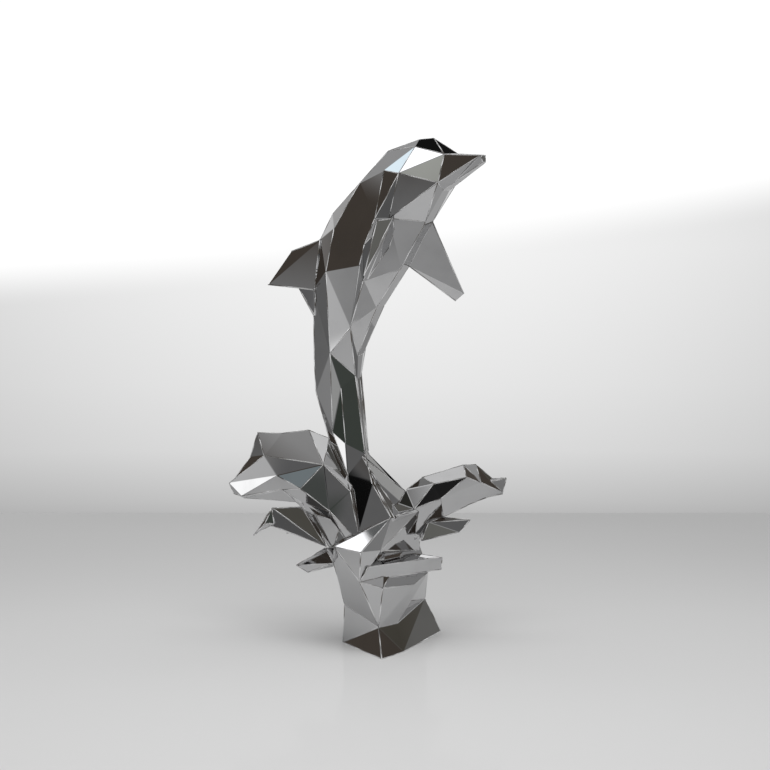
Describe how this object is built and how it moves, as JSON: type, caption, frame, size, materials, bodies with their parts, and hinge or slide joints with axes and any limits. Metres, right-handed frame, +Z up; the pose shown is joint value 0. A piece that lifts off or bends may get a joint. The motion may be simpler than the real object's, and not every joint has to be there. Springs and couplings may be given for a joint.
{
  "type": "stainless steel dolphin sculpture",
  "caption": "Faceted group of leaping dolphins in mirror-polished stainless steel, the tall one on its tail above a column shared with the small ones.",
  "frame": {"origin": "on the floor, in the flat underside of the foot, under the middle of the column", "axes": "+Z up, +X to the right as the group is seen from its front, +Y away from the viewer"},
  "size_m": [1.4484, 0.7014, 2.455],
  "materials": {
    "polished_steel": "mirror-polished stainless steel plate, welded and ground at the folds"
  },
  "bodies": {
    "root": {"dolphin_group": "polished_steel"}
  },
  "joints": []
}
